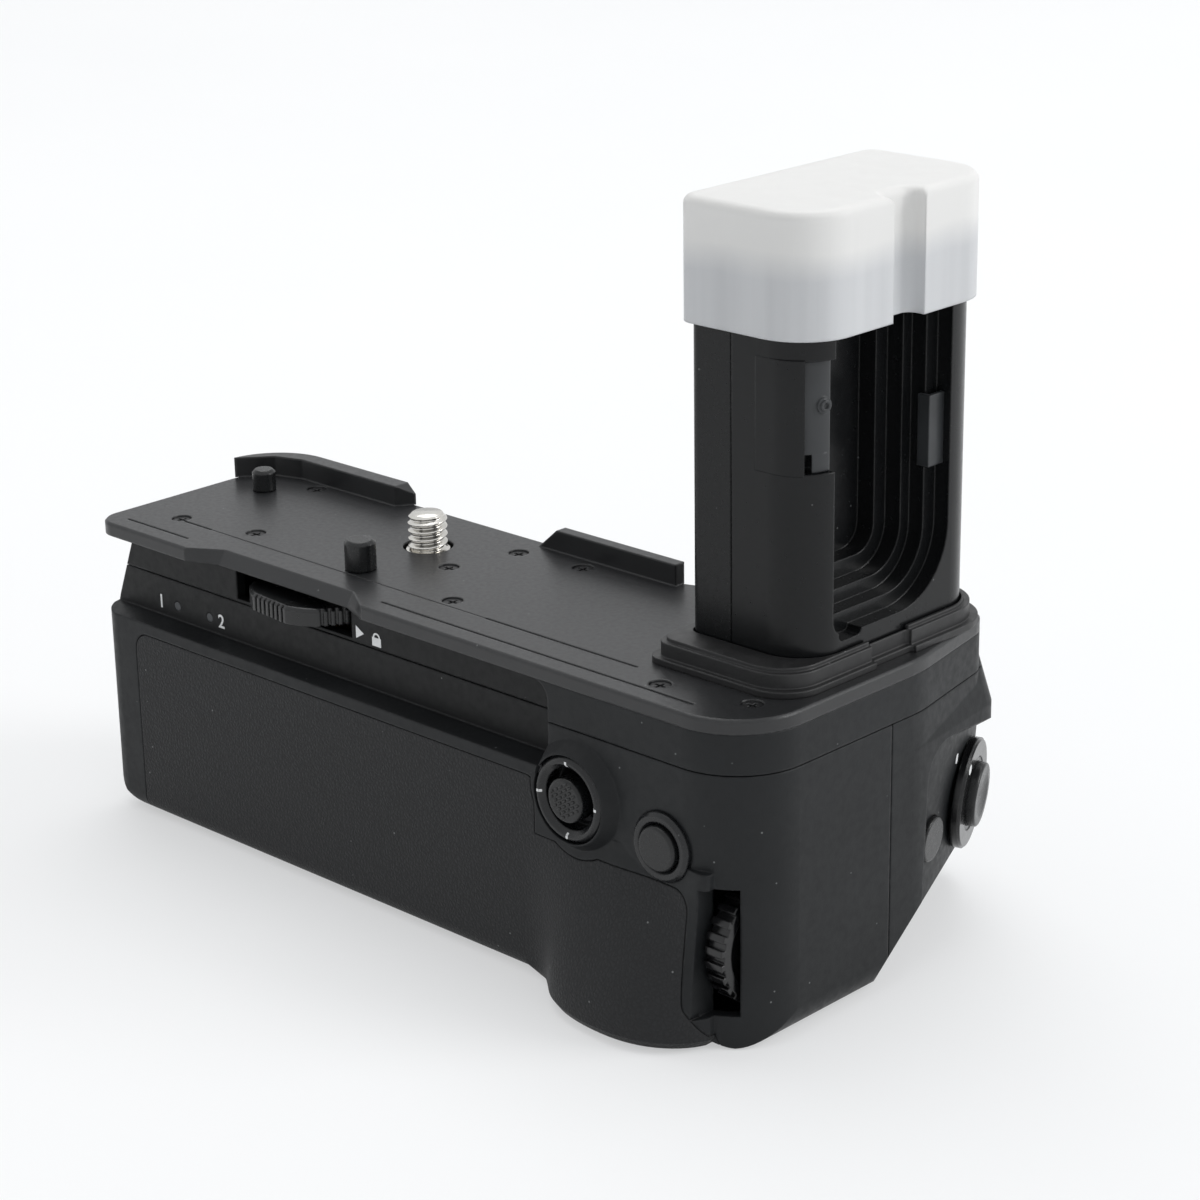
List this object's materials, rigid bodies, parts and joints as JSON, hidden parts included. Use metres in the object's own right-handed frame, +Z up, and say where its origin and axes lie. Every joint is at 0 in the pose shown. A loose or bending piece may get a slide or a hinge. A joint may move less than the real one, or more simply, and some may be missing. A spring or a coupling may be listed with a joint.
{
  "type": "camera battery grip",
  "caption": "Battery grip that screws under a camera, with a battery tray, a stalk into the battery chamber, dials, a thumb selector and a second shutter release.",
  "frame": {"origin": "axis of the mounting screw at the seat plate's top face", "axes": "+X along the length towards the stalk and the shutter release, +Y towards the front of the camera, +Z up, the way the screw leaves"},
  "size_m": [0.1421, 0.0815, 0.1173],
  "materials": {
    "housing": "fine matte",
    "seat": "satin",
    "frame": "satin",
    "grip_rubber": "pebbled",
    "black_screw": "black zinc",
    "nickel": "turned",
    "bush_brass": "machined",
    "gear_brass": "machined",
    "wheel_black": "satin",
    "steel": "plain",
    "spring_steel": "plain",
    "stalk_black": "satin",
    "pocket_black": "gloss",
    "head_grey": "satin",
    "contact_gold": "plated",
    "board": "coated board",
    "seal_rubber": "soft",
    "cap_clear": "milky",
    "bezel_black": "gloss",
    "button_black": "satin",
    "dial_black": "gloss",
    "lens": "frosted",
    "inner_plastic": "moulded",
    "battery_case": "satin",
    "aluminium_part": "turned"
  },
  "bodies": {
    "base": {"chamber_frame": "inner_plastic", "contact_blades": "contact_gold", "contact_block": "inner_plastic", "control_board": "board", "front_dial_axle": "steel", "front_dial_bracket": "spring_steel", "front_rubber": "grip_rubber", "front_shell": "housing", "gear_bridge": "steel", "lamp_lenses": "lens", "large_locating_pin": "button_black", "main_board": "board", "plate_screws": "black_screw", "pocket_clip_front": "spring_steel", "pocket_clip_rear": "spring_steel", "rear_dial_axle": "steel", "rear_dial_bracket": "spring_steel", "rear_rubber": "grip_rubber", "rear_shell": "housing", "release_board": "board", "release_collar": "bezel_black", "screw_bush": "bush_brass", "seat_plate": "seat", "selector_base": "inner_plastic", "selector_bezel": "bezel_black", "shell_screws": "black_screw", "small_locating_pin": "button_black", "stalk_board": "board", "stalk_head": "head_grey", "stalk_inner_shell": "stalk_black", "stalk_outer_shell": "pocket_black", "stalk_seal": "seal_rubber", "stalk_terminals": "contact_gold", "thumb_collar": "bezel_black", "tray_rails": "inner_plastic", "tripod_bush": "aluminium_part", "upper_frame": "frame", "wheel_axle": "steel"},
    "wheel": {"attachment_wheel": "wheel_black", "wheel_gear": "gear_brass"},
    "screw": {"mounting_screw": "nickel", "screw_gear": "gear_brass"},
    "cap": {"terminal_cap": "cap_clear"},
    "selector_ring": {"selector_gimbal": "steel"},
    "selector_stick": {"selector_stem": "steel"},
    "selector_top": {"selector_cap": "button_black"},
    "thumb": {"thumb_button": "button_black"},
    "shutter": {"shutter_button": "button_black"},
    "function": {"function_button": "button_black"},
    "ring": {"lock_ring": "housing"},
    "rear_wheel": {"rear_dial": "dial_black"},
    "front_wheel": {"front_dial": "dial_black"},
    "tray": {"battery_tray": "inner_plastic", "battery_1": "battery_case", "battery_2": "battery_case", "tray_end_cap": "housing"},
    "knob": {"tray_lock_knob": "button_black", "tray_lock_bolt": "steel"}
  },
  "joints": [
    {"name": "wheel_turn", "type": "hinge", "parent": "base", "child": "wheel", "pos_m": [-0.00706, -0.01391, -0.005], "axis": [0, 0, 1], "continuous": true},
    {"name": "screw_turn", "type": "hinge", "parent": "base", "child": "screw", "pos_m": [0, 0, 0], "axis": [0, 0, 1], "continuous": true},
    {"name": "cap_pull", "type": "slide", "parent": "base", "child": "cap", "axis": [0, 0, 1], "range_m": [0, 0.025]},
    {"name": "selector_tip_x", "type": "hinge", "parent": "base", "child": "selector_ring", "pos_m": [0.0583, -0.0216, -0.0182], "axis": [1, 0, 0], "range_deg": [-8, 8], "stiffness_Nm_per_rad": 0.02},
    {"name": "selector_tip_z", "type": "hinge", "parent": "selector_ring", "child": "selector_stick", "pos_m": [0.0583, -0.0216, -0.0182], "axis": [0, 0, 1], "range_deg": [-8, 8], "stiffness_Nm_per_rad": 0.02},
    {"name": "selector_press", "type": "slide", "parent": "selector_stick", "child": "selector_top", "axis": [0, 1, 0], "range_m": [0, 0.0005], "stiffness_N_per_m": 800},
    {"name": "thumb_press", "type": "slide", "parent": "base", "child": "thumb", "axis": [0, 1, 0], "range_m": [0, 0.0005], "stiffness_N_per_m": 800},
    {"name": "shutter_press", "type": "slide", "parent": "base", "child": "shutter", "axis": [-0.9107, -0.4055, 0.0785], "range_m": [0, 0.0007], "stiffness_N_per_m": 800},
    {"name": "function_press", "type": "slide", "parent": "base", "child": "function", "axis": [-0.9675, -0.2407, 0.0773], "range_m": [0, 0.0004], "stiffness_N_per_m": 800},
    {"name": "ring_turn", "type": "hinge", "parent": "base", "child": "ring", "pos_m": [0.0829, 0.0321, -0.0292], "axis": [0.9107, 0.4055, -0.0785], "range_deg": [0, 35]},
    {"name": "rear_dial_turn", "type": "hinge", "parent": "base", "child": "rear_wheel", "pos_m": [0.0844, -0.0175, -0.0356], "axis": [1, 0, 0], "continuous": true},
    {"name": "front_dial_turn", "type": "hinge", "parent": "base", "child": "front_wheel", "pos_m": [0.065, 0.0387, -0.026], "axis": [1, 0, 0], "continuous": true},
    {"name": "tray_slide", "type": "slide", "parent": "base", "child": "tray", "axis": [-1, 0, 0], "range_m": [0, 0.115]},
    {"name": "knob_turn", "type": "hinge", "parent": "tray", "child": "knob", "pos_m": [-0.0519, -0.005, -0.03392], "axis": [-1, 0, 0], "range_deg": [0, 90]}
  ],
  "couplings": [
    {"joint": "screw_turn", "follows": "wheel_turn", "ratio": -0.625}
  ]
}
